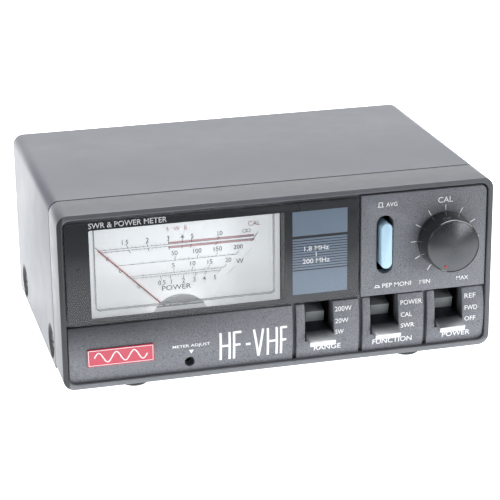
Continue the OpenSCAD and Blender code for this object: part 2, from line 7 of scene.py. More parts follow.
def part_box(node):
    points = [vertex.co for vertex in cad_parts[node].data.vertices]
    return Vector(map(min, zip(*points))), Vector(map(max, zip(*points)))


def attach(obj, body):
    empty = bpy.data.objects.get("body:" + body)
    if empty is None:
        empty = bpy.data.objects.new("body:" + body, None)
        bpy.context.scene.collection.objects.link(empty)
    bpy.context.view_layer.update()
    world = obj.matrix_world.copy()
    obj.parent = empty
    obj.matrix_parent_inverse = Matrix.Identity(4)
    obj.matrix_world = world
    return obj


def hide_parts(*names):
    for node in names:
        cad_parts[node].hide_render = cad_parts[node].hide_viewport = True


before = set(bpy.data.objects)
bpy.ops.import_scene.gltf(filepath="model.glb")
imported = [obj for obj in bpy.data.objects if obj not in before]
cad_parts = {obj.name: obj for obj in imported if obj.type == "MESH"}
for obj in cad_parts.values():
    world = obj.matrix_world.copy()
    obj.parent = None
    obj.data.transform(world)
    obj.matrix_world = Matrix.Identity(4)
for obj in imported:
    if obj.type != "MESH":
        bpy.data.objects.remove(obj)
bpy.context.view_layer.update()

# ------------------------------------------------
# Studio. A white floor in a white surround, with softboxes above, on the left and in front. A
# long lens looks down at the front from the left. Places on the case are given across from the
# middle, above its bottom and behind its front, in millimetres.
MM = 0.001
bezel_lo, bezel_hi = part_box("front_bezel")
HALF_W = bezel_hi.x / MM
CASE_H = (bezel_hi.z - bezel_lo.z) / MM
CAMERA_AZ = math.radians(14.45)
CAMERA_EL = math.radians(19.54)
CAMERA_ROLL = math.radians(-0.70)
CAMERA_DIST = 0.70107
CAMERA_LENS = 135.47


def place(x, h, d):
    """A point across, above the case's bottom and behind its front, in metres."""
    return Vector((x * MM, bezel_lo.y + d * MM, bezel_lo.z + h * MM))


back = Vector((
    -math.sin(CAMERA_AZ) * math.cos(CAMERA_EL),
    -math.cos(CAMERA_AZ) * math.cos(CAMERA_EL),
    math.sin(CAMERA_EL),
))
level = Vector((0, 0, 1)).cross(back).normalized()
upward = back.cross(level)
right = level * math.cos(CAMERA_ROLL) + upward * math.sin(CAMERA_ROLL)
top = upward * math.cos(CAMERA_ROLL) - level * math.sin(CAMERA_ROLL)
aim = place(2.11, 25.93, 51.5)
turn = Matrix((right, top, back)).transposed().to_4x4()

bpy.ops.object.camera_add()
camera = bpy.context.object
camera.name = "camera"
camera.data.lens = CAMERA_LENS
camera.data.sensor_width = 36
camera.data.clip_start = 0.05
camera.data.clip_end = 50
camera.matrix_world = Matrix.Translation(aim + back * CAMERA_DIST) @ turn
bpy.context.scene.camera = camera
bpy.context.scene.view_settings.view_transform = "Standard"


def soft_light(name, at, toward, size, watts):
    """A rectangular soft light at a point, turned toward another."""
    bpy.ops.object.light_add(type="AREA", location=at)
    lamp = bpy.context.object
    lamp.name = name
    lamp.data.shape = "RECTANGLE"
    lamp.data.size, lamp.data.size_y = size
    lamp.data.energy = watts
    lamp.rotation_mode = "QUATERNION"
    lamp.rotation_quaternion = (Vector(toward) - Vector(at)).to_track_quat("-Z", "Y")


soft_light("overhead", (0.15, 0.25, 1.1), (0, 0, 0), (1.0, 0.8), 18)
soft_light("left_side", (-1.1, 0.35, 0.45), (0, 0.05, 0.03), (0.9, 0.9), 6)
soft_light("front_right", (1.0, -1.25, 0.4), (0, 0, 0.03), (0.6, 0.5), 9)


class Wire:
    """A socket in a node tree. Sums on it add Math nodes."""

    def __init__(self, tree, socket):
        self.tree = tree
        self.socket = socket

    def math(self, operation, first, second=None):
        node = self.tree.nodes.new("ShaderNodeMath")
        node.operation = operation
        for socket, value in zip(node.inputs, (first, second)):
            if isinstance(value, Wire):
                self.tree.links.new(value.socket, socket)
            elif value is not None:
                socket.default_value = value
        return Wire(self.tree, node.outputs[0])

    def __add__(self, other):
        return self.math("ADD", self, other)

    def __sub__(self, other):
        return self.math("SUBTRACT", self, other)

    def __rsub__(self, other):
        return self.math("SUBTRACT", other, self)

    def __mul__(self, other):
        return self.math("MULTIPLY", self, other)

    def __truediv__(self, other):
        return self.math("DIVIDE", self, other)

    def __pow__(self, other):
        return self.math("POWER", self, other)

    def sine(self):
        return self.math("SINE", self)

    def held(self):
        """The value kept between 0 and 1."""
        return self.math("MINIMUM", self.math("MAXIMUM", self, 0.0), 1.0)


class Tree:
    """Adds nodes to one node tree."""

    def __init__(self, tree):
        self.tree = tree

    def node(self, kind, settings=(), output=0, **sockets):
        """Any node: its settings first, and then a value or a wire on each socket by name."""
        node = self.tree.nodes.new("ShaderNode" + kind)
        for key, value in dict(settings).items():
            setattr(node, key, value)
        for key, value in sockets.items():
            name = key.replace("_", " ").lower()
            socket = next(s for s in node.inputs if s.name.lower() == name and s.enabled)
            if isinstance(value, Wire):
                self.tree.links.new(value.socket, socket)
            else:
                socket.default_value = value
        return Wire(self.tree, node.outputs[output])

    def spot(self):
        return self.node("TexCoord", output=3)

    def noise(self, scale, detail=2.0):
        return self.node("TexNoise", Vector=self.spot(), Scale=scale, Detail=detail)

    def axes(self, where):
        """The three numbers of a vector."""
        return [self.node("SeparateXYZ", output=i, Vector=where) for i in range(3)]

    def blend(self, factor, first, second):
        """A mix of two colours, each a colour or a wire."""
        node = self.tree.nodes.new("ShaderNodeMix")
        node.data_type = "RGBA"
        node.clamp_factor = True
        for index, value in ((0, factor), (6, first), (7, second)):
            if isinstance(value, Wire):
                self.tree.links.new(value.socket, node.inputs[index])
            elif isinstance(value, tuple):
                node.inputs[index].default_value = (*value, 1)
            else:
                node.inputs[index].default_value = value
        return Wire(self.tree, node.outputs[2])


class Finish(Tree):
    """One material. Fixed values go on the shader's own sockets and varying ones are wired in."""

    def __init__(self, name, color, roughness, metallic=0.0, **fixed):
        self.material = bpy.data.materials.new(name)
        self.material.use_nodes = True
        super().__init__(self.material.node_tree)
        self.surface = self.tree.nodes["Principled BSDF"]
        self.color = color
        self.put("Base Color", (*color, 1))
        self.put("Roughness", roughness)
        self.put("Metallic", metallic)
        for key, value in fixed.items():
            self.put(key.replace("_", " "), value)
        self.material.diffuse_color = (*color, 1)

    def put(self, socket, value):
        if isinstance(value, Wire):
            self.tree.links.new(value.socket, self.surface.inputs[socket])
        else:
            self.surface.inputs[socket].default_value = value

    def mottle(self, amount, scale):
        """Takes the colour up and down by a share, in patches."""
        dark = tuple(c * (1 - amount) for c in self.color)
        light = tuple(min(1.0, c * (1 + amount)) for c in self.color)
        self.put("Base Color", self.blend(self.noise(scale) * 1.6 - 0.3, dark, light))

    def wear(self, low, high, scale, detail=2.0):
        """Varies the roughness between two values."""
        reach = high - low
        patches = self.noise(scale, detail)
        self.put("Roughness", patches * (reach * 1.4) + (low - 0.2 * reach))

    def bump(self, height, depth):
        self.put("Normal", self.node("Bump", Height=height, Distance=depth))

    def grain(self, scale, depth, detail=2.0):
        self.bump(self.noise(scale, detail), depth)


# The floor glows a little, as a lit white sweep does, and falls off to dark far ahead.
FLOOR_WHITE, FLOOR_GLOW, FLOOR_DARK = (0.60, 0.61, 0.62), (0.98, 0.99, 1.0), (0.02, 0.02, 0.022)
bpy.ops.mesh.primitive_plane_add(size=12, location=(0, 0, 0))
floor = bpy.context.object
floor.name = "floor"
floor_white = Finish("floor_white", FLOOR_WHITE, 0.6, Emission_Strength=1.35)
from_front = floor_white.axes(floor_white.spot())[1] - bezel_lo.y
near = (from_front * 8.0 + 1.6).held()
floor_white.put("Base Color", floor_white.blend(near, FLOOR_DARK, FLOOR_WHITE))
floor_white.put("Emission Color", floor_white.blend(near, FLOOR_DARK, FLOOR_GLOW))
floor_white.wear(0.55, 0.65, 3)
floor.data.materials.append(floor_white.material)

# The surround is white below and behind, dark ahead and above, and dimmer on the left.
surround = bpy.data.worlds.new("surround")
bpy.context.scene.world = surround
surround.use_nodes = True
sky = Tree(surround.node_tree)
from_left, from_back, from_above = sky.axes(sky.node("TexCoord", output=0))
ahead = (0.25 - from_back) * 2.0
aloft = (from_above + 0.06) * 6.0
dim = ahead.held() * aloft.held()
leftward = ((from_left * -1.0 - 0.15) * 4.0).held() * aloft.held()
shade = sky.blend(leftward, (1.0, 1.0, 1.0), (0.25, 0.26, 0.28))
shade = sky.blend(dim, shade, (0.11, 0.12, 0.135))
background = surround.node_tree.nodes["Background"]
surround.node_tree.links.new(shade.socket, background.inputs["Color"])
background.inputs["Strength"].default_value = 1.0


# ------------------------------------------------
# Front bezel. A moulded grey plastic frame 16.6 mm deep, with round outer corners and a narrow
# rim. A ledge inside holds the panel, and a spigot behind goes into the cover.
RIM = 1.9
BEZEL_D = 16.6
FRONT_X, FRONT_H = (-HALF_W, HALF_W), (0, CASE_H)
BEZEL_GREY = (0.100, 0.106, 0.118)
BEZEL_LOW, BEZEL_HIGH = (0.094, 0.100, 0.111), (0.106, 0.112, 0.125)
# Painted light and shade: a lighter grey for the bottom sill, and near black for the left rim's front
# face.
SILL_PAINTED_LIGHT, JAMB_PAINTED_SHADE = (0.19, 0.20, 0.215), (0.012, 0.013, 0.015)


def only(obj):
    """Leaves one object selected and active."""
    bpy.ops.object.select_all(action="DESELECT")
    obj.select_set(True)
    bpy.context.view_layer.objects.active = obj


def settle(obj):
    """Moves an object's place, turn and size into its mesh."""
    only(obj)
    bpy.ops.object.transform_apply(location=True, rotation=True, scale=True)
    return obj


def inset(span, by):
    """A pair of limits drawn in at both ends."""
    return span[0] + by, span[1] - by


def block(x, h, d):
    """A box that spans x across, h in height and d in depth."""
    middle = place((x[0] + x[1]) / 2, (h[0] + h[1]) / 2, (d[0] + d[1]) / 2)
    bpy.ops.mesh.primitive_cube_add(size=1, location=middle)
    obj = bpy.context.object
    obj.scale = Vector((x[1] - x[0], d[1] - d[0], h[1] - h[0])) * MM
    return settle(obj)


def round_corners(obj, radius, segments=8, pick=None):
    """Rounds the edges that run from front to back, or those of them that pick chooses."""
    only(obj)
    bpy.ops.object.mode_set(mode="EDIT")
    bpy.ops.mesh.select_mode(type="EDGE")
    bpy.ops.mesh.select_all(action="DESELECT")
    bpy.ops.object.mode_set(mode="OBJECT")
    for edge in obj.data.edges:
        a, b = (obj.data.vertices[i].co for i in edge.vertices)
        edge.select = abs((b - a).normalized().y) > 0.999 and (pick is None or pick((a + b) / 2))
    bpy.ops.object.mode_set(mode="EDIT")
    bpy.ops.mesh.bevel(offset=radius * MM, segments=segments, affect="EDGES")
    bpy.ops.object.mode_set(mode="OBJECT")
    return obj


def plate(x, h, d, radius, segments=8):
    """A box with round corners as seen from the front."""
    return round_corners(block(x, h, d), radius, segments)


def combine(obj, other, operation):
    """Cuts the other shape from this one, joins it on, or keeps what they share."""
    only(obj)
    modifier = obj.modifiers.new("combine", "BOOLEAN")
    modifier.operation = operation
    modifier.solver = "EXACT"
    modifier.object = other
    bpy.ops.object.modifier_apply(modifier=modifier.name)
    bpy.data.objects.remove(other)
    return obj


def cut(obj, *others):
    for other in others:
        combine(obj, other, "DIFFERENCE")
    return obj


def join(*objects):
    """Makes one object of several closed shells."""
    only(objects[0])
    for obj in objects:
        obj.select_set(True)
    if len(objects) > 1:
        bpy.ops.object.join()
    return objects[0]


def soften(obj, width, segments=2, angle=35.0):
    """Rounds every sharp edge a little."""
    only(obj)
    modifier = obj.modifiers.new("soften", "BEVEL")
    modifier.width = width * MM
    modifier.segments = segments
    modifier.limit_method = "ANGLE"
    modifier.angle_limit = math.radians(angle)
    modifier.use_clamp_overlap = False
    bpy.ops.object.modifier_apply(modifier=modifier.name)
    return obj


def piece(obj, name, body, slot, material, *stands_for):
    """Names a finished piece, gives it its material and lets it ride on its body."""
    only(obj)
    bpy.ops.object.shade_smooth_by_angle(angle=math.radians(32))
    obj.name = name
    obj.data.materials.clear()
    obj.data.materials.append(material)
    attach(obj, body)
    if stands_for:
        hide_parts(*stands_for)
    return obj


def moulded(name, color, low, high, grain=0.00003, scale=1400, **fixed):
    """Moulded plastic with a fine spark-eroded skin."""
    finish = Finish(name, color, low, **fixed)
    finish.mottle(0.06, 120)
    finish.wear(low, high, 200, 3)
    finish.grain(scale, grain, 3)
    return finish.material


bezel = plate(FRONT_X, FRONT_H, (0, BEZEL_D), 4, 12)
cut(bezel, plate(inset(FRONT_X, RIM), inset(FRONT_H, RIM), (-1, BEZEL_D + 1), 2.8, 10))
soften(bezel, 0.3, 3)
ledge = plate(inset(FRONT_X, 1), inset(FRONT_H, 1), (5, 7), 3)
cut(ledge, plate(inset(FRONT_X, 3.4), inset(FRONT_H, 3.4), (4, 8), 2))
cut(ledge, block((-43, -23), (RIM, 8), (4, 8)))
spigot = plate(inset(FRONT_X, 1.3), inset(FRONT_H, 1.3), (14.6, 20.6), 2.7)
cut(spigot, plate(inset(FRONT_X, 2.8), (-2, CASE_H - 2.8), (13, 22), 1.5))
cut(spigot, block(FRONT_X, (-1, 17), (13, 22)))
bezel_grey = Finish("bezel_grey", BEZEL_GREY, 0.34)
across, away, rise = bezel_grey.axes(bezel_grey.spot())
# Painted light and shade: below 2.6 mm the bezel is painted lighter, for the floor's light on the
# bottom rim, and the left rim's front face is painted near black, a painted shade.
sill_light = ((place(0, 2.6, 0).z - rise) / 0.001).held()
jamb_shade = ((place(-75.2, 0, 0).x - across) / 0.0004).held()
jamb_shade = jamb_shade * ((place(0, 0, 0.5).y - away) / 0.0004).held()
mottle_and_sill_light = bezel_grey.blend(bezel_grey.noise(120) * 1.6 - 0.3, BEZEL_LOW, BEZEL_HIGH)
mottle_and_sill_light = bezel_grey.blend(sill_light, mottle_and_sill_light, SILL_PAINTED_LIGHT)
bezel_grey.put("Base Color", bezel_grey.blend(jamb_shade * 0.75, mottle_and_sill_light, JAMB_PAINTED_SHADE))
bezel_grey.wear(0.34, 0.46, 200, 3)
bezel_grey.grain(1400, 0.00003, 3)
piece(join(bezel, ledge), "bezel", "case", "bezel_plastic", bezel_grey.material, "front_bezel")
# The spigot is coloured near black: painted shade that darkens the seam between bezel and cover.
spigot_painted_shade = moulded("spigot_painted_shade", (0.010, 0.0105, 0.012), 0.5, 0.6)
piece(spigot, "bezel_spigot", "case", "bezel_plastic", spigot_painted_shade)


# ------------------------------------------------
# Front panel. One moulding behind the rim, sprayed with a speckled grey: a flat field on the
# right, and a strip below it crowned from top to bottom, in four pads with dark grooves between.
PANEL_EDGE = HALF_W - RIM - 0.3
STRIP_R = 43.1
STRIP_MID = 12.1
STRIP_CROWN = 0.3
STRIP_H = (2.0, 22.2)
FIELD_FRONT = 0.6
GROOVES = (4.8, 29.15, 53.2)
GROOVE_HALF = 0.675
SWITCH_HALF, SWITCH_REACH, SWITCH_FLOOR = 5.0, 5.4, 8.5
SWITCHES = (13.6, 37.65, 61.7)
OPENING_X, OPENING_H = (-67.4, 2.9), (23.7, 57.6)
SHAFT_HOLE_R = 3.6
SLOT_X, SLOT_H, SLOT_HALF, SLOT_REACH = 37.75, 41.65, 3.0, 10.65
KNOB_X, KNOB_H = 60.0, 41.6
PIVOT_X, ADJUST_H, ADJUST_R = -33.0, 5.6, 1.75
SPECKLE_DARK = (0.092, 0.098, 0.114)
SPECKLE_LIGHT = (0.255, 0.265, 0.290)
SPECKLE_MID = (0.188, 0.196, 0.216)
# Painted shade for the strip's upper left, under the window.
SPECKLE_SHADE = (0.035, 0.037, 0.043)


def strip_depth(h):
    """Depth of the crowned strip's surface at a height."""
    return STRIP_CROWN + STRIP_R - math.sqrt(STRIP_R ** 2 - (h - STRIP_MID) ** 2)


def strip_bar(x, extra=0.0):
    """The large cylinder that gives the strip its crown, between two places across."""
    bpy.ops.mesh.primitive_cylinder_add(
        vertices=360, radius=(STRIP_R + extra) * MM, depth=(x[1] - x[0]) * MM,
        location=place((x[0] + x[1]) / 2, STRIP_MID, STRIP_CROWN + STRIP_R),
        rotation=(0, math.pi / 2, 0),
    )
    return settle(bpy.context.object)


def rod(x, h, d, radius, sides=48):
    """A round bar that runs from front to back."""
    bpy.ops.mesh.primitive_cylinder_add(
        vertices=sides, radius=radius * MM, depth=(d[1] - d[0]) * MM,
        location=place(x, h, (d[0] + d[1]) / 2), rotation=(math.pi / 2, 0, 0),
    )
    return settle(bpy.context.object)


def sliced(obj, across, heights):
    """Cuts new edges at places across and at heights, so that no face runs round a corner."""
    only(obj)
    bpy.ops.object.mode_set(mode="EDIT")
    cuts = [(place(x, 0, 0), (1, 0, 0)) for x in across]
    cuts += [(place(0, h, 0), (0, 0, 1)) for h in heights]
    for at, normal in cuts:
        bpy.ops.mesh.select_all(action="SELECT")
        bpy.ops.mesh.bisect(plane_co=at, plane_no=normal)
    bpy.ops.object.mode_set(mode="OBJECT")


def capsule(x, h, half, reach, d):
    """An upright bar with round ends."""
    return plate((x - half, x + half), (h - reach, h + reach), d, half - 0.01, 12)


def outer_corner(spot):
    """Whether an edge lies at the panel's outer upper corner."""
    return abs(spot.x) > (PANEL_EDGE - 1) * MM and not place(0, 15, 0).z < spot.z < place(0, 50, 0).z


def panel_holes(obj, d):
    """Cuts the button's slot and the hole for the control's shaft."""
    slot = capsule(SLOT_X, SLOT_H, SLOT_HALF, SLOT_REACH, d)
    return cut(obj, slot, rod(KNOB_X, KNOB_H, d, SHAFT_HOLE_R))


pads = []
for i in range(4):
    lo = GROOVES[i - 1] + GROOVE_HALF if i else -PANEL_EDGE
    hi = GROOVES[i] - GROOVE_HALF if i < 3 else PANEL_EDGE
    pad = block((lo, hi), (STRIP_H[0] - 0.3, STRIP_H[1]), (0, 3))
    combine(pad, strip_bar((lo - 1, hi + 1)), "INTERSECT")
    if i:
        x = SWITCHES[i - 1]
        sides = (x - SWITCH_HALF, x + SWITCH_REACH)
        cut(pad, block(sides, (SWITCH_FLOOR, 23.5), (-1, 6)))
        sliced(pad, sides, (SWITCH_FLOOR,))
    else:
        cut(pad, rod(PIVOT_X, ADJUST_H, (-1, 6), ADJUST_R))
    pads.append(soften(pad, 0.25, 3, 40))
field = block((29.0, PANEL_EDGE), (22.9, 60.3), (FIELD_FRONT, 3.0))
round_corners(field, 2.4, 8, outer_corner)
soften(panel_holes(field, (-1, 6)), 0.3, 3, 40)
base = plate((-PANEL_EDGE, PANEL_EDGE), (2.2, 60.9), (3, 5), 2.3)
cut(base, plate(OPENING_X, OPENING_H, (2, 6), 1.5))
cut(panel_holes(base, (2, 6)), rod(PIVOT_X, ADJUST_H, (2, 6), ADJUST_R))
for x in SWITCHES:
    cut(base, block((x - SWITCH_HALF, x + SWITCH_REACH), (SWITCH_FLOOR, 22.5), (2, 6)))

speckled = Finish("speckled_paint", SPECKLE_MID, 0.38)
fleck = speckled.noise(2600, 1)
patch = speckled.noise(900, 2)
tone = speckled.blend(fleck * 3.2 - 1.1, SPECKLE_DARK, SPECKLE_LIGHT)
tone = speckled.blend(patch * 2 - 0.65, tone, SPECKLE_MID)
across, away, rise = speckled.axes(speckled.spot())
# Painted shade: the strip is painted darker toward its top and toward the left, under the window.
upper = ((rise - place(0, 10, 0).z) / 0.012).held() * ((place(8, 0, 0).x - across) / 0.06).held()
upper = upper * ((place(0, 22.4, 0).z - rise) / 0.0001).held()
speckled.put("Base Color", speckled.blend(upper * 0.85, tone, SPECKLE_SHADE))
speckled.put("Roughness", fleck * 0.2 + 0.30)
speckled.bump(fleck + patch * 0.6, 0.00005)
piece(join(base, field, *pads), "panel", "case", "panel_plastic", speckled.material, "front_panel")


# ------------------------------------------------
# Meter window. A clear acrylic plate 2.6 mm thick, printed black round the window. A blue-grey
# block with dark lines carries the frequency range, and white words stand over the window.
LENS_X, LENS_H, LENS_D = (-75.0, 28.3), (23.1, 59.8), (0.4, 2.9)
MASK_D = (1.12, 1.2)
WINDOW_X, WINDOW_H = (-66.6, 1.5), (24.8, 56.7)
BLOCK_X = (4.3, 24.1)
BLOCK_H = ((26.15, 34.85), (47.65, 56.55))
LINE_PITCH = 0.97
LINE_W = 0.30
PRINT_T = 0.06


def clear(name, tint, strength, roughness=0.01):
    """Clear moulding: light passes straight through, and a share of it is reflected."""
    material = bpy.data.materials.new(name)
    material.use_nodes = True
    glass = Tree(material.node_tree)
    nodes, links = material.node_tree.nodes, material.node_tree.links
    nodes.remove(nodes["Principled BSDF"])
    through = glass.node("BsdfTransparent", Color=(*tint, 1))
    shine = glass.node("BsdfGlossy", Color=(1, 1, 1, 1), Roughness=roughness)
    haze = glass.noise(60, 2) * 0.12 + 0.94
    mix = glass.node("MixShader", Fac=(glass.node("Fresnel", IOR=1.49) * haze * strength).held())
    links.new(through.socket, mix.socket.node.inputs[1])
    links.new(shine.socket, mix.socket.node.inputs[2])
    links.new(mix.socket, nodes["Material Output"].inputs["Surface"])
    material.diffuse_color = (*tint, 0.3)
    return material


def gloss(name, color, rough=0.08, coat=0.0, spread=0.03):
    """A smooth moulded or printed surface, slightly uneven."""
    finish = Finish(name, color, rough, Coat_Weight=coat, Coat_Roughness=0.03)
    finish.mottle(spread, 150)
    finish.wear(rough * 0.8, rough * 1.3, 120)
    return finish.material


def ink(name, color, rough=0.45):
    """Screen-printed ink, with slightly uneven cover."""
    finish = Finish(name, color, rough)
    finish.mottle(0.04, 2500)
    finish.wear(rough - 0.05, rough + 0.08, 1500)
    return finish.material


def lettering(words, x, h, height, front, weight=0.004, follow=None):
    """Raised words between two places across, or centred on one, with their middle at h."""
    bpy.ops.object.text_add()
    text = bpy.context.object.data
    text.body, text.offset, text.extrude, text.resolution_u = words, weight, 0.5, 3
    bpy.ops.object.convert(target="MESH")
    obj = bpy.context.object
    spots = [v.co for v in obj.data.vertices]
    low = Vector([min(c[i] for c in spots) for i in range(3)])
    size = Vector([max(c[i] for c in spots) for i in range(3)]) - low
    tall = height / size.y
    wide = (x[1] - x[0]) / size.x if isinstance(x, tuple) else tall
    left = x[0] if isinstance(x, tuple) else x - size.x * wide / 2
    for vertex in obj.data.vertices:
        at = vertex.co - low
        rise = h - height / 2 + at.y * tall
        depth = front + (0 if at.z > size.z / 2 else PRINT_T) + (follow(rise) if follow else 0)
        vertex.co = place(left + at.x * wide, rise, depth)
    only(obj)
    bpy.ops.object.mode_set(mode="EDIT")
    bpy.ops.mesh.select_all(action="SELECT")
    bpy.ops.mesh.remove_doubles(threshold=0.0000005)
    bpy.ops.mesh.normals_make_consistent(inside=False)
    bpy.ops.object.mode_set(mode="OBJECT")
    return obj


lens = soften(plate(LENS_X, LENS_H, LENS_D, 1.5), 0.15)
acrylic = clear("lens_acrylic", (0.995, 0.998, 1.0), 0.5)
piece(lens, "lens", "case", "lens_acrylic", acrylic, "window_lens")
mask = plate(inset(LENS_X, 0.2), inset(LENS_H, 0.2), MASK_D, 1.3)
cut(mask, plate(WINDOW_X, WINDOW_H, (0, 3), 0.5))
piece(mask, "lens_mask", "case", "lens_acrylic", gloss("mask_black", (0.011, 0.014, 0.019), 0.3))

print_front = MASK_D[0] - PRINT_T
blues = [block(BLOCK_X, rows, (print_front, MASK_D[0])) for rows in BLOCK_H]
for i in range(12):
    lo = BLOCK_H[0][1] + LINE_W + i * LINE_PITCH + 0.14
    blues.append(block(BLOCK_X, (lo, lo + LINE_PITCH - LINE_W), (print_front, MASK_D[0])))
range_blue = ink("range_blue", (0.195, 0.255, 0.335), 0.4)
piece(join(*blues), "range_block", "case", "lens_acrylic", range_blue)
white_ink = ink("white_ink", (0.92, 0.93, 0.94))
words = [
    lettering("1.8 MHz", (8.5, 17.4), 42.8, 1.75, print_front - PRINT_T, 0.009),
    lettering("200 MHz", (7.9, 17.7), 38.2, 1.8, print_front - PRINT_T, 0.009),
    block((12.65, 12.95), (39.75, 41.45), (print_front - PRINT_T, print_front)),
    lettering("SWR & POWER METER", (-66.6, -39.7), 58.35, 1.95, print_front, 0.008),
]
piece(join(*words), "window_words", "case", "lens_acrylic", white_ink)


# ------------------------------------------------
# Panel lettering. White screen print on the field and the crowned strip: the controls' names,
# their positions, the push button's two signs and large band letters drawn in single strokes.
BAND_H = (4.9, 15.2)
BAND_STROKE = 0.85
BAND_LETTERS = {
    "H": [((0, 0), (0, 1)), ((1, 0), (1, 1)), ((0, 0.52), (1, 0.52))],
    "F": [((0, 0), (0, 1)), ((0, 0.97), (1, 0.97)), ((0, 0.52), (0.85, 0.52))],
    "-": [((0, 0.5), (1, 0.5))],
    "V": [((0, 1), (0.5, 0)), ((0.5, 0), (1, 1))],
}
BAND_WORD = (("H", -22.0, 3.2), ("F", -17.2, 2.7), ("-", -13.0, 1.7), ("V", -10.0, 3.3),
             ("H", -5.0, 3.2), ("F", -0.2, 2.2))


def stroke(p, q, width, front, thick=PRINT_T):
    """A thin flat bar between two points given as across and height."""
    middle = place((p[0] + q[0]) / 2, (p[1] + q[1]) / 2, front + thick / 2)
    bpy.ops.mesh.primitive_cube_add(size=1, location=middle)
    obj = bpy.context.object
    run, rise = q[0] - p[0], q[1] - p[1]
    obj.scale = Vector((math.hypot(run, rise), thick, width)) * MM
    obj.rotation_euler = (0, -math.atan2(rise, run), 0)
    return settle(obj)


def over_strip(obj, slices=0):
    """Bends a flat print onto the crowned strip, after slicing it across at equal heights."""
    heights = [(v.co.z - bezel_lo.z) / MM for v in obj.data.vertices]
    gap = (max(heights) - min(heights)) / (slices + 1)
    sliced(obj, (), [min(heights) + gap * (i + 1) for i in range(slices)])
    for vertex in obj.data.vertices:
        vertex.co.y += strip_depth((vertex.co.z - bezel_lo.z) / MM) * MM
    return obj


flat_front = FIELD_FRONT - PRINT_T
FIELD_WORDS = (
    ("CAL", (57.1, 62.6), 56.2, 2.1), ("MIN", (50.8, 54.7), 26.4, 1.5),
    ("MAX", (64.6, 69.1), 26.4, 1.5), ("AVG", (38.0, 42.1), 56.3, 1.5),
    ("PEP MONI", (36.9, 47.6), 26.4, 1.6),
)
prints = [lettering(*word, flat_front) for word in FIELD_WORDS]
for x, h, tall in ((34.9, 55.6, 1.6), (33.9, 25.9, 0.75)):
    corners = ((x + 0.45, h), (x + 0.45, h + tall), (x + 1.75, h + tall), (x + 1.75, h))
    for p, q in zip(corners, corners[1:]):
        prints.append(stroke(p, q, 0.28, flat_front))
    prints.append(stroke((x, h), (x + 2.2, h), 0.28, flat_front))
for i in range(11):
    a = math.radians(-150 + 30 * i)
    ends = [(KNOB_X + r * math.sin(a), KNOB_H + r * math.cos(a)) for r in (10.7, 12.7)]
    prints.append(stroke(*ends, 0.34, flat_front))
STRIP_WORDS = (
    ("200W", (19.6, 25.8), 19.3, 1.7), ("20W", (19.6, 24.5), 15.0, 1.7),
    ("5W", (19.6, 22.7), 10.9, 1.7), ("RANGE", (11.9, 21.8), 5.5, 2.0),
    ("POWER", (43.9, 51.9), 19.1, 1.7), ("CAL", (43.9, 48.1), 14.7, 1.7),
    ("SWR", (43.9, 49.0), 10.6, 1.7), ("FUNCTION", (33.6, 48.3), 5.3, 2.0),
    ("REF", (68.0, 72.2), 19.1, 1.7), ("FWD", (68.0, 72.8), 14.7, 1.7),
    ("OFF", (68.0, 72.2), 10.6, 1.7), ("POWER", (59.8, 70.4), 5.2, 2.0),
    ("METER ADJUST", (-39.1, -25.8), 11.7, 1.3),
)
for text, x, h, height in STRIP_WORDS:
    prints.append(lettering(text, x, h, height, -PRINT_T + 0.005, 0.006, strip_depth))
bpy.ops.mesh.primitive_cylinder_add(
    vertices=3, radius=1.0 * MM, depth=PRINT_T * MM,
    location=place(-32.5, 9.7, -PRINT_T / 2), rotation=(-math.pi / 2, 0, 0),
)
prints.append(over_strip(settle(bpy.context.object)))
for letter, x, width in BAND_WORD:
    for p, q in BAND_LETTERS[letter]:
        ends = [(x + u * width, BAND_H[0] + v * (BAND_H[1] - BAND_H[0])) for u, v in (p, q)]
        prints.append(over_strip(stroke(*ends, BAND_STROKE, -PRINT_T), 8))
piece(join(*prints), "panel_words", "case", "panel_plastic", white_ink)


# ------------------------------------------------
# Badge. A small printed metal plate glued to the strip, bent to its crown: glossy red, with a
# thin white border and a sine wave.
BADGE_X, BADGE_H, BADGE_FRONT = (-69.0, -45.7), (8.0, 14.3), -0.3

badge = plate(BADGE_X, BADGE_H, (BADGE_FRONT, 1), 0.4, 4)
cut(badge, strip_bar((-80, -40), 0.05))
soften(badge, 0.08)
badge_red = gloss("badge_red", (0.56, 0.035, 0.075), 0.16, 0.5)
piece(badge, "badge", "case", "badge", badge_red, "badge_plate")
(x0, x1), (h0, h1) = inset(BADGE_X, 0.45), inset(BADGE_H, 0.45)
border = ((x0, h0), (x1, h0), (x1, h1), (x0, h1), (x0, h0))
wave = [(-66.6 + 18.5 * i / 60, 11.15 + 1.75 * math.sin(3 * math.tau * i / 60)) for i in range(61)]
marks = [stroke(p, q, width, BADGE_FRONT - 0.03, 0.04)
         for points, width in ((border, 0.18), (wave, 0.42)) for p, q in zip(points, points[1:])]
piece(join(*marks), "badge_marks", "case", "badge", white_ink)


# ------------------------------------------------
# Top cover. Sheet steel 1 mm thick folded over the top and both sides, in satin grey enamel.
# Low on each side two dished recesses are pressed in for the screws.
COVER_D = (17.4, 103.0)
SHEET = 1.0
COVER_H0 = 1.6
DISH_H, DISH_D, DISH_R, DISH_DEEP = 9.0, (25.0, 88.0), 6.2, 2.2
ENAMEL_GREY = (0.118, 0.125, 0.142)
TURNS = {
    "front": (math.pi / 2, 0, 0), "rear": (-math.pi / 2, 0, 0), "right": (0, math.pi / 2, 0),
    "left": (0, -math.pi / 2, 0), "up": (0, 0, 0), "down": (math.pi, 0, 0),
}


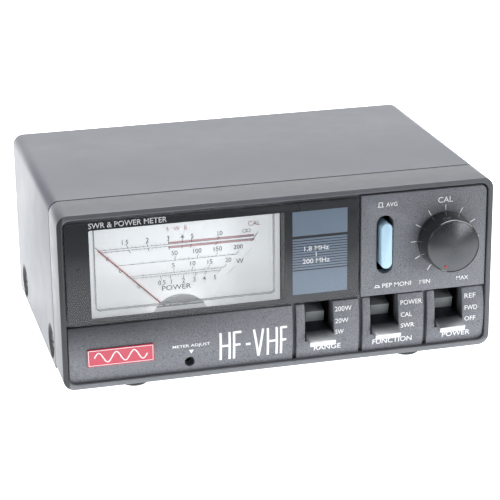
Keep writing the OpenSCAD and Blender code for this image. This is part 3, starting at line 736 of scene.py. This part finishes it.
def turned(rings, at, toward, sides=48):
    """A solid of revolution from rings of radius and height, set at a point and turned."""
    bpy.ops.mesh.primitive_circle_add(vertices=sides, radius=rings[0][0] * MM, fill_type="NGON",
                                      location=(0, 0, rings[0][1] * MM))
    obj = settle(bpy.context.object)
    bpy.ops.object.mode_set(mode="EDIT")
    bpy.ops.mesh.select_all(action="SELECT")
    for (r0, z0), (r1, z1) in zip(rings, rings[1:]):
        bpy.ops.mesh.extrude_region_move(TRANSFORM_OT_translate={"value": (0, 0, (z1 - z0) * MM)})
        bpy.ops.transform.resize(value=(r1 / r0, r1 / r0, 1), center_override=(0, 0, z1 * MM))
    bpy.ops.mesh.select_all(action="SELECT")
    bpy.ops.mesh.normals_make_consistent(inside=False)
    bpy.ops.object.mode_set(mode="OBJECT")
    obj.rotation_euler = TURNS[toward]
    obj.location = at
    return settle(obj)


def folded(half, rows, d, radius):
    """A block whose two upper edges are folded to a radius."""
    middle = place(0, sum(rows) / 2, 0).z
    return round_corners(block((-half, half), rows, d), radius, 12, lambda p: p.z > middle)


cover = folded(HALF_W, (COVER_H0, CASE_H), COVER_D, 4)
cut(cover, folded(HALF_W - SHEET, (-1, CASE_H - SHEET), (COVER_D[0] - 1, COVER_D[1] + 1), 3))
sliced(cover, inset(FRONT_X, 4.1), (CASE_H - 4.1,))
soften(cover, 0.22, 2)
SIDES = [(depth, side, toward) for depth in DISH_D for side, toward in ((-1, "left"), (1, "right"))]
OUTER = DISH_R + 0.3
outline = [(DISH_R - 1.4, -DISH_DEEP - SHEET), (OUTER, -SHEET - 0.1), (OUTER, 0)]
hollow = [(DISH_R - 2.1, -DISH_DEEP), (DISH_R - 1.8, -DISH_DEEP + 0.1), (DISH_R - 0.3, -0.35),
          (DISH_R, -0.1), (DISH_R + 0.12, 0.001), (DISH_R + 0.12, 0.6)]
dished = []
for depth, side, toward in SIDES:
    at = place(side * HALF_W, DISH_H, depth)
    cut(cover, turned([(OUTER, -2), (OUTER, 2)], at, toward, 64))
    dish = turned(outline, at, toward, 64)
    cut(dish, turned(hollow, at, toward, 64), turned([(1.7, -5), (1.7, 1)], at, toward, 24))
    dished.append(dish)
enamel = Finish("case_enamel", ENAMEL_GREY, 0.38)
enamel.mottle(0.05, 60)
enamel.wear(0.34, 0.43, 90, 3)
enamel.grain(900, 0.00004, 3)
piece(cover, "cover", "case", "case_paint", enamel.material, "top_cover")
# The dished recesses are coloured near black: painted shade in the hollows of the grey enamelled sheet.
dish_painted_shade = gloss("dish_painted_shade", (0.012, 0.0125, 0.014), 0.4)
piece(join(*dished), "cover_dishes", "case", "case_paint", dish_painted_shade)


# ------------------------------------------------
# Cover screws. Four black-oxide machine screws with low domed cross-recess heads, one in each
# dished recess.
def metal(name, color, low, high, scale=500, grain=0.00001):
    """Bare or plated metal, with a fine grain."""
    finish = Finish(name, color, low, 1.0)
    finish.mottle(0.06, scale * 0.4)
    finish.wear(low, high, scale, 3)
    finish.grain(scale * 2, grain)
    return finish.material


def screw(at, toward, head_r, head_t, shaft_r, shaft_len):
    """A screw with a low domed head and a cross recess, its head standing on a point."""
    dome = [(head_r * math.cos(a), head_t * (0.35 + 0.65 * math.sin(a)))
            for a in (math.radians(15 * i) for i in range(6))]
    head = turned([(shaft_r, -shaft_len), (shaft_r, 0), (head_r - 0.1, 0), (head_r, 0.1), *dome,
                   (head_r * 0.12, head_t)], (0, 0, 0), "up", 32)
    for angle in (0, math.pi / 2):
        bpy.ops.mesh.primitive_cube_add(size=1, location=(0, 0, head_t * MM))
        slot = bpy.context.object
        slot.scale = Vector((head_r * 1.15, head_r * 0.2, head_t * 1.1)) * MM
        slot.rotation_euler = (0, 0, angle)
        cut(head, settle(slot))
    head.rotation_euler = TURNS[toward]
    head.location = at
    return settle(head)


screws = [screw(place(side * (HALF_W - DISH_DEEP), DISH_H, depth), toward, 3.1, 1.9, 1.5, 6)
          for depth, side, toward in SIDES]
piece(join(*screws), "side_screws", "case", "screw_black",
      metal("black_oxide", (0.035, 0.036, 0.04), 0.3, 0.45), "cover_screws")


# ------------------------------------------------
# Chassis. A folded tray of zinc-plated sheet with the rear wall, which carries the sockets. The
# rear wall has black printed names for the sockets and the supply jack.
PORTS = (("TX", -38.0), ("ANT", 0.0))
PORT_H = 34.0
JACK_X = 50.0
WALL_BACK = 102.2
black_ink = ink("black_ink", (0.030, 0.031, 0.035), 0.5)


def coat(material, *names):
    """Gives a material to nodes whose CAD shape is shown as it is."""
    for name in names:
        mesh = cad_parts[name].data
        mesh.materials.clear()
        mesh.materials.append(material)


zinc = metal("zinc_plate", (0.30, 0.31, 0.32), 0.34, 0.48, 260)
coat(zinc, "chassis")
labels = []
for text, x in (*PORTS, ("DC 13.8 V", JACK_X)):
    label = lettering(text, x, PORT_H + (17.5 if x < JACK_X else 9.5), 3.0 if x < JACK_X else 2.2, 0)
    label.rotation_euler = (0, 0, math.pi)
    label.location = (2 * x * MM, 2 * bezel_lo.y + (WALL_BACK + PRINT_T) * MM, 0)
    labels.append(settle(label))
piece(join(*labels), "rear_words", "case", "plated_steel", black_ink)


# ------------------------------------------------
# Feet. Four moulded rubber feet with a recess for the screw that holds each one.
FOOT_X, FOOT_D, FOOT_R = 50.4, (13.4, 88.0), 5.6
FOOT_T = bezel_lo.z / MM

feet = []
foot_screws = []
for x in (-FOOT_X, FOOT_X):
    for depth in FOOT_D:
        at = place(x, 0, depth)
        foot = turned([(FOOT_R, 0), (FOOT_R, 2.6), (FOOT_R - 0.1, 3.4), (FOOT_R - 0.5, 4.2),
                       (FOOT_R - 1.0, 4.7), (FOOT_R - 1.6, FOOT_T)], at, "down")
        cut(foot, turned([(3.2, 2.4), (3.3, FOOT_T + 1)], at, "down"),
            turned([(1.7, -1), (1.7, 4)], at, "down"))
        feet.append(foot)
        foot_screws.append(screw(place(x, -2.4, depth), "down", 2.8, 1.6, 1.5, 6.6))
piece(join(*feet), "feet", "case", "rubber_black",
      moulded("foot_rubber", (0.022, 0.022, 0.024), 0.62, 0.78, 0.00004, 900), "rubber_feet")
nickelled = metal("nickelled_screw", (0.62, 0.61, 0.59), 0.2, 0.34)
piece(join(*foot_screws), "foot_fixings", "case", "screw_steel", nickelled, "foot_screws")


# ------------------------------------------------
# Meter case. A clear styrene cover with a raised front that fills the window, over a white dial
# and a black moulded base with a can for the movement.
CASE_X, CASE_ROWS, NOSE_X = (-72.0, 6.0), (8.0, 58.5), (-42.0, -24.0)
PAD_X, PAD_H = (-64.9, -1.1), (26.3, 57.0)
WALL = 1.2

shell = plate(CASE_X, CASE_ROWS, (5.2, 19), 1.6)
combine(shell, block(NOSE_X, (2.1, 12), (5.2, 19)), "UNION")
combine(shell, plate(PAD_X, PAD_H, (3.4, 6), 1.5), "UNION")
soften(shell, 0.3, 3)
inner = plate(inset(CASE_X, WALL), inset(CASE_ROWS, WALL), (6.7, 20), 1.0)
combine(inner, block(inset(NOSE_X, WALL), (2.1 + WALL, 12), (6.7, 20)), "UNION")
cut(shell, inner, rod(PIVOT_X, ADJUST_H, (3, 8), 1.45, 32))
piece(shell, "meter_cover", "case", "clear_styrene",
      clear("clear_styrene", (0.992, 0.995, 0.997), 0.5), "meter_case")
# Painted shade: a thin grey, half-clear ring stands in for the dark line that light makes at the edges
# of the raised pad.
pad_edge_shade = plate(inset(PAD_X, 0.3), inset(PAD_H, 0.3), (3.5, 5.1), 1.3)
cut(pad_edge_shade, plate(inset(PAD_X, 0.6), inset(PAD_H, 0.6), (3, 6), 1.0))
edge_painted_shade = Finish("edge_painted_shade", (0.42, 0.44, 0.46), 0.3, Alpha=0.45)
edge_painted_shade.mottle(0.05, 200)
piece(pad_edge_shade, "meter_cover_edge_shade", "case", "clear_styrene", edge_painted_shade.material)
coat(moulded("black_moulding", (0.012, 0.0125, 0.014), 0.42, 0.6),
     "meter_base", "zero_screw", "cal_pot_body", "push_switch_body", "lamp_holder",
     "range_switch_body", "function_switch_body", "power_switch_body", "dc_jack")


# ------------------------------------------------
# Dial. A white painted plate with black and red screen-printed scales: a double line for the
# standing wave ratio and three power scales. All ends and ticks point at the needle's pivot.
DIAL_X, DIAL_H, DIAL_D = (-70.5, 4.5), (13.0, 57.0), (18.4, 19.0)
PIVOT_H = 15.7
INK_D = DIAL_D[0] - PRINT_T


def ray(x, h, reach):
    """The point that lies a little farther from the pivot than a point on the dial."""
    run, rise = x - PIVOT_X, h - PIVOT_H
    far = (math.hypot(run, rise) + reach) / math.hypot(run, rise)
    return PIVOT_X + run * far, PIVOT_H + rise * far


def ticks(h, marks, reach, width):
    """Short lines that stand on a scale line along the rays from the pivot."""
    return [stroke((x, h), ray(x, h, reach), width, INK_D) for x in marks]


def spread(start, end, count, bend=1.0):
    """Places between two marks, closing up toward the end when bend is under 1."""
    return [start + (end - start) * (i / count) ** bend for i in range(1, count)]


dial = plate(DIAL_X, DIAL_H, DIAL_D, 1, 5)
cut(dial, rod(PIVOT_X, PIVOT_H, (17, 20), 3.0, 32),
    *(rod(PIVOT_X + side * 9.4, PIVOT_H, (17, 20), 1.1, 24) for side in (-1, 1)))
soften(dial, 0.06)
# Painted light: the dial's white glows a little, though its lamp is not lit.
dial_white = Finish("dial_white", (0.88, 0.90, 0.91), 0.5, Emission_Color=(0.95, 0.98, 1.0, 1),
                    Emission_Strength=0.48)
dial_white.mottle(0.012, 400)
dial_white.wear(0.45, 0.55, 300)
piece(dial, "dial", "case", "dial_white", dial_white.material, "dial_plate")

RATIO_H = (43.15, 42.4)
RATIO_X = (-60.3, -4.8)
RATIO_MARKS = (-50.0, -43.1, -35.7, -30.9, -27.6, -18.2)
LINE = 0.16
NUMBER_WEIGHT, WORD_WEIGHT = 0.012, 0.01
black = [stroke((RATIO_X[0], h), (RATIO_X[1], h), LINE, INK_D) for h in RATIO_H]
black += ticks(RATIO_H[0], RATIO_MARKS, 1.5, 0.24)
black += ticks(RATIO_H[1], RATIO_MARKS, -1.4, 0.24)
for lo, hi in zip((RATIO_X[0], *RATIO_MARKS[:2]), RATIO_MARKS[:3]):
    black += ticks(RATIO_H[0], spread(lo, hi, 5), 0.9, 0.12)
    black += ticks(RATIO_H[1], spread(lo, hi, 5), -0.8, 0.12)
black.append(stroke(ray(RATIO_X[0], RATIO_H[1], -2.2), ray(RATIO_X[0], RATIO_H[0], 1.9), 0.24, INK_D))
black.append(stroke(ray(RATIO_X[1], RATIO_H[1], -1.6), ray(RATIO_X[1], RATIO_H[0], 2.2), 0.26, INK_D))
SCALES = (
    (37.0, -54.2, -11.6, 39.75, 1,
     ((-33.5, "50", -33.7), (-25.7, "100", -25.5), (-19.0, "150", -18.1), (-11.6, "200", -10.7))),
    (32.5, -49.8, -16.15, 35.2, 1,
     ((-34.0, "5", -34.2), (-27.7, "10", -27.2), (-22.0, "15", -21.0), (-16.15, "20", -14.4))),
    (31.75, -49.1, -16.9, 29.2, -1,
     ((-39.1, "0.5", -38.5), (-35.5, "1", -35.1), (-30.5, "2", -30.7), (-26.0, "3", -26.8),
      (-22.2, "4", -23.2), (-17.3, "5", -19.3))),
)
for h, lo, hi, row, way, numbers in SCALES:
    black.append(stroke((lo, h), (hi, h), LINE, INK_D))
    marks = [x for x, text, middle in numbers]
    black += ticks(h, marks, 1.6 * way, 0.22)
    for x0, x1 in zip((lo + 2, *marks), marks):
        black += ticks(h, spread(x0, x1, 5), 0.85 * way, 0.11)
    for x, text, middle in numbers:
        black.append(lettering(text, middle, row, 1.7, INK_D, NUMBER_WEIGHT))
    black.append(stroke(ray(lo, h, 0), ray(lo, h, 2.0), 0.24, INK_D))
for text, x in (("1.5", -51.1), ("2", -43.2), ("3", -35.8), ("4", -30.8), ("5", -27.2), ("10", -17.2)):
    black.append(lettering(text, x, 45.4, 1.7, INK_D, NUMBER_WEIGHT))
for x, h in ((-57.5, 39.8), (-53.1, 35.0), (-46.8, 28.6)):
    black.append(lettering("0", x, h, 1.5, INK_D, NUMBER_WEIGHT))
for text, x, h in (("POWER", (-38.5, -28.0), 27.0), ("W", -10.2, 34.4)):
    black.append(lettering(text, x, h, 1.9, INK_D, WORD_WEIGHT))
black.append(stroke((-8.6, 35.9), ray(-5.6, 38.9, 0), 0.1, INK_D))
black.append(stroke((-11.6, 32.6), (-15.4, 29.8), 0.1, INK_D))
for side in (-1, 1):
    ring = [(-7.6 + side * 0.75 + 0.72 * math.cos(math.tau * i / 14),
             45.45 + 0.6 * math.sin(math.tau * i / 14)) for i in range(15)]
    black += [stroke(p, q, 0.2, INK_D) for p, q in zip(ring, ring[1:])]
faint_ink = ink("scale_ink", (0.15, 0.15, 0.158), 0.5)
piece(join(*black), "dial_scales", "case", "dial_white", faint_ink)

red = [stroke((RATIO_MARKS[2], h), (RATIO_X[1], h), 0.7, INK_D + 0.02, 0.04)
       for h in (RATIO_H[0] + 0.5, RATIO_H[1] - 0.5)]
for text, x, h, height in (("S", -36.0, 48.7, 1.5), ("W", -32.8, 48.7, 1.5), ("R", -29.4, 48.7, 1.5),
                           ("CAL", -4.8, 48.0, 1.8)):
    red.append(lettering(text, x, h, height, INK_D, WORD_WEIGHT))
piece(join(*red), "dial_reds", "case", "dial_white", ink("scale_red", (0.82, 0.44, 0.46), 0.5))


# ------------------------------------------------
# Movement. A grey hub cover hides the moving coil in its ring magnet. The red needle, the coil
# and the pins turn together on two jewel screws, against a hairspring set by the zero screw.
HUB_R, HUB_H, HUB_ROWS, HUB_HALF = 11.0, 15.0, (9.5, 27.0), 12.0
HUB_SPLIT = 21.9

hub_rings = [(HUB_R, 0), (HUB_R, 0.55), (HUB_R - 0.25, 0.8)]
hub = turned(hub_rings, place(PIVOT_X, HUB_H, 14.2), "front", 160)
combine(hub, block((PIVOT_X - HUB_HALF, PIVOT_X + HUB_HALF), HUB_ROWS, (13, 15)), "INTERSECT")
# Painted light: the hub glows a little, and above the split its grey is painted from dark at the split
# to light toward the top, a painted shading. Below the split it is white.
hub_grey = Finish("hub_grey", (0.40, 0.41, 0.42), 0.4, Emission_Strength=0.40)
rise = (hub_grey.axes(hub_grey.spot())[2] - place(0, HUB_SPLIT, 0).z) / 0.0041
shaded = hub_grey.blend(rise, (0.24, 0.245, 0.25), (0.50, 0.51, 0.53))
for socket in ("Base Color", "Emission Color"):
    hub_grey.put(socket, hub_grey.blend(rise * 60.0 + 0.5, (0.86, 0.88, 0.89), shaded))
hub_grey.wear(0.36, 0.46, 300)
piece(hub, "hub_disc", "case", "grey_plastic", hub_grey.material, "hub_cover")
iron = metal("soft_iron", (0.30, 0.30, 0.31), 0.35, 0.5)
brass = metal("turned_brass", (0.72, 0.53, 0.22), 0.2, 0.32)
steel = metal("bright_steel", (0.66, 0.66, 0.67), 0.12, 0.22)
copper = Finish("copper_winding", (0.55, 0.22, 0.09), 0.3, 0.8)
turns = (copper.axes(copper.spot())[1] * (math.tau / 0.0006)).sine()
copper.put("Base Color", copper.blend(turns * 0.5 + 0.5, (0.30, 0.12, 0.05), (0.55, 0.22, 0.09)))
copper.bump(turns, 0.00004)
coat(iron, "yoke_ring")
coat(metal("ground_magnet", (0.20, 0.20, 0.21), 0.3, 0.45), "core_magnet")
coat(brass, "front_bridge", "rear_bridge", "jewel_screws", "hairspring", "meter_terminals",
     "detent_springs", "socket_contacts", "coupler_line")
coat(copper.material, "moving_coil")
coat(ink("needle_red", (0.62, 0.22, 0.22), 0.4), "pointer")
coat(steel, "pivot_pins", "cal_pot_shaft", "push_spring", "switch_pins")
coat(metal("turned_aluminium", (0.68, 0.69, 0.70), 0.25, 0.38), "zero_arm", "cal_pot_nut")
coat(clear("lamp_glass", (0.98, 0.95, 0.85), 1.0), "dial_lamp")


# ------------------------------------------------
# Calibration knob. A turned plastic knob with a gloss black skirt and a crowned face of spun
# satin metal, with a red dot for its pointer. It turns with the control's shaft.
KNOB_FRONT, KNOB_BACK, KNOB_R = -9.0, 0.1, 10.4
FACE_R = 9.1
DOT_REACH, DOT_TURN = 7.6, math.radians(-158)

knob_at = place(KNOB_X, KNOB_H, KNOB_BACK)
t = KNOB_BACK - KNOB_FRONT
crown = [(r, t - 0.9 * (r / 9.0) ** 2) for r in (9.0, 8.0, 7.0, 6.0, 5.0, 4.0, 3.0, 2.0, 1.0, 0.3)]
body = turned([(8, 3), (8, 0), (KNOB_R - 0.2, 0), (KNOB_R, 0.3), (KNOB_R, 0.6), (9.72, t - 1.6),
               (9.66, t - 1.25), (9.52, t - 1.05), (9.3, t - 0.97), (9.12, t - 1.02), (8.9, t - 1.3),
               (3.2, t - 1.4)], knob_at, "front", 128)
cut(body, turned([(3.0, -1), (3.0, t - 2)], knob_at, "front", 48))
knob_black = gloss("knob_black", (0.010, 0.0105, 0.012), 0.07, 0.4)
piece(body, "knob", "cal_knob", "knob_black", knob_black, "cal_knob")
face = turned([(FACE_R - 0.1, t - 1.25), (FACE_R, t - 1.0), *crown], knob_at, "front", 128)
spun = Finish("spun_face", (0.17, 0.175, 0.185), 0.30, 1.0)
from_axis = spun.node("Mapping", Vector=spun.spot(), Location=-place(KNOB_X, KNOB_H, 0))
across, away, rise = spun.axes(from_axis)
radius = (across ** 2.0 + rise ** 2.0) ** 0.5
rings = (radius * (math.tau / 0.00022)).sine()
spun.put("Roughness", rings * 0.04 + 0.22)
spun.put("Base Color", spun.blend(rings * 0.5 + 0.5, (0.078, 0.081, 0.087), (0.11, 0.114, 0.12)))
spun.bump(rings, 0.000006)
piece(face, "knob_face", "cal_knob", "knob_black", spun.material)
dot_x, dot_h = KNOB_X + DOT_REACH * math.sin(DOT_TURN), KNOB_H + DOT_REACH * math.cos(DOT_TURN)
dot = turned([(0.5, 0), (0.5, 0.15), (0.35, 0.25)], place(dot_x, dot_h, KNOB_FRONT + 0.69), "front", 24)
piece(dot, "knob_dot", "cal_knob", "knob_black", ink("dot_red", (0.42, 0.03, 0.04), 0.35))


# ------------------------------------------------
# Push button. A pale blue moulded key with round ends, in a slot of the field. A white plunger
# carries it on the switch behind.
key = capsule(SLOT_X, SLOT_H, 2.05, 8.3, (-1.5, 7))
soften(key, 0.45, 4)
piece(key, "key", "avg_button", "button_blue",
      moulded("key_blue", (0.50, 0.73, 0.88), 0.25, 0.35, 0.00001, 900, Coat_Weight=0.3), "avg_button")
coat(moulded("natural_moulding", (0.72, 0.72, 0.69), 0.4, 0.5), "push_plunger")


# ------------------------------------------------
# Lever switches. Each lever is a grey moulded drum on a steel pin, with a satin silver cap that
# stands out of the panel and points down at rest.
LEVER_D, LEVER_H, LEVER_TILT = 17.0, 15.2, math.radians(15.5)
DRUM_HALF, DRUM_LEN, CAP_HALF, LEVER_LEN = 3.5, 10.8, 4.75, 22.6
NAMES = ("range", "function", "power")

drum_grey = moulded("drum_grey", (0.20, 0.215, 0.225), 0.35, 0.45, 0.00002)
CAP_SHADE, CAP_BRIGHT = (0.040, 0.049, 0.060), (0.63, 0.64, 0.655)
satin = Finish("satin_silver", (0.88, 0.89, 0.90), 0.36, 0.85)
# Painted shade: the cap is painted dark at its root, inside the panel's opening, and light toward its
# tip.
outward = (place(0, 0, LEVER_D - DRUM_LEN + 0.4).y - satin.axes(satin.spot())[1]) / 0.0114
satin.put("Base Color", satin.blend(outward * 2.2 - 1.0, CAP_SHADE, CAP_BRIGHT))
satin.wear(0.32, 0.42, 400)
satin.grain(1800, 0.000004)


def at_lever(obj, x):
    """Tilts a part of a lever, built level, to its place at rest."""
    pivot = Matrix.Translation(place(x, LEVER_H, LEVER_D))
    obj.matrix_world = pivot @ Matrix.Rotation(LEVER_TILT, 4, "X") @ pivot.inverted()
    return settle(obj)


def level_block(x, half, reach, rise):
    """A box on a level lever: half its width, its reach ahead of the pin and its rise."""
    return block((x - half, x + half), (LEVER_H + rise[0], LEVER_H + rise[1]),
                 (LEVER_D - reach[1], LEVER_D - reach[0]))


for name, x in zip(NAMES, SWITCHES):
    drum = level_block(x, DRUM_HALF, (4, DRUM_LEN), (-5.5, 5.5))
    soften(drum, 0.3, 2)
    web = level_block(x, DRUM_HALF - 0.1, (0, 5), (-3, 3))
    hub = turned([(4, -DRUM_HALF), (4, DRUM_HALF)], place(x, LEVER_H, LEVER_D), "right", 48)
    combine(combine(drum, web, "UNION"), hub, "UNION")
    cut(drum, turned([(1.3, -6), (1.3, 6)], place(x, LEVER_H, LEVER_D), "right", 32))
    lever = name + "_lever"
    piece(at_lever(drum, x), name + "_drum", lever, "black_plastic", drum_grey, lever)
    cap = level_block(x, CAP_HALF, (DRUM_LEN + 0.8, LEVER_LEN), (-1.1, 1.1))
    soften(cap, 0.28, 3)
    root = level_block(x, DRUM_HALF - 0.2, (DRUM_LEN, DRUM_LEN + 1.2), (-1.3, 1.3))
    combine(cap, soften(root, 0.1, 2), "UNION")
    piece(at_lever(cap, x), name + "_tip", lever, "lever_chrome", satin.material, lever + "_cap")


# ------------------------------------------------
# Coaxial sockets. Two turned brass sockets, nickel plated, each with a square flange, a rolled
# thread and four screws. White insulators hold the centre contacts.
SOCKET_FRONT, FLANGE_T, SOCKET_TIP = 102.2, 1.6, 118.0
FLANGE_HALF, THREAD_R, BORE_R, SCREW_AT = 12.7, 7.94, 6.2, 9.1
THREAD_PITCH, THREAD_DEEP = 1.058, 0.55

nickel = metal("nickel_plate", (0.66, 0.64, 0.60), 0.14, 0.25)
sockets = []
socket_screws = []
for text, x in PORTS:
    flange = plate((x - FLANGE_HALF, x + FLANGE_HALF), (PORT_H - FLANGE_HALF, PORT_H + FLANGE_HALF),
                   (SOCKET_FRONT, SOCKET_FRONT + FLANGE_T), 1.5, 6)
    soften(flange, 0.15)
    run = SOCKET_TIP - SOCKET_FRONT
    barrel = [(THREAD_R, 1.0), (THREAD_R, 2.6), (THREAD_R - THREAD_DEEP, 3.0)]
    at = 3.2
    while at + THREAD_PITCH < run - 0.7:
        barrel += [(THREAD_R - THREAD_DEEP, at), (THREAD_R, at + 0.42), (THREAD_R, at + 0.58),
                   (THREAD_R - THREAD_DEEP, at + 1.0)]
        at += THREAD_PITCH
    barrel += [(THREAD_R - THREAD_DEEP, run - 0.7), (THREAD_R - 0.9, run)]
    rear = place(x, PORT_H, SOCKET_FRONT)
    combine(flange, turned(barrel, rear, "rear", 64), "UNION")
    cut(flange, turned([(BORE_R, -2), (BORE_R, run + 1)], rear, "rear", 64))
    for across in (-SCREW_AT, SCREW_AT):
        for up in (-SCREW_AT, SCREW_AT):
            where = (x + across, PORT_H + up)
            cut(flange, turned([(1.5, -1), (1.5, 4)], place(*where, SOCKET_FRONT), "rear", 24))
            head_at = place(*where, SOCKET_FRONT + FLANGE_T)
            socket_screws.append(screw(head_at, "rear", 2.6, 1.7, 1.5, 6))
    sockets.append(flange)
piece(join(*sockets), "sockets", "case", "nickel_plate", nickel, "coax_sockets")
piece(join(*socket_screws), "socket_fixings", "case", "screw_steel", nickelled, "socket_screws")
coat(moulded("insulator", (0.80, 0.78, 0.72), 0.35, 0.45), "socket_insulators")


# ------------------------------------------------
# Boards and coupler. Inside, a control board with its capacitors, and a cast box with the
# directional coupler's board, centre line and ferrite ring, joined by sleeved leads.
coat(gloss("solder_mask", (0.02, 0.13, 0.06), 0.25, 0.3, 0.15), "control_board", "coupler_board")
coat(nickelled, "board_screws")
coat(gloss("capacitor_sleeve", (0.03, 0.05, 0.12), 0.25), "capacitors")
coat(metal("cast_box", (0.60, 0.61, 0.62), 0.4, 0.55, 700, 0.00003), "coupler_box", "coupler_lid")
coat(moulded("ferrite", (0.035, 0.035, 0.038), 0.6, 0.75), "pickup_toroid")
coat(gloss("lead_sleeve", (0.35, 0.03, 0.03), 0.35), "inner_leads")
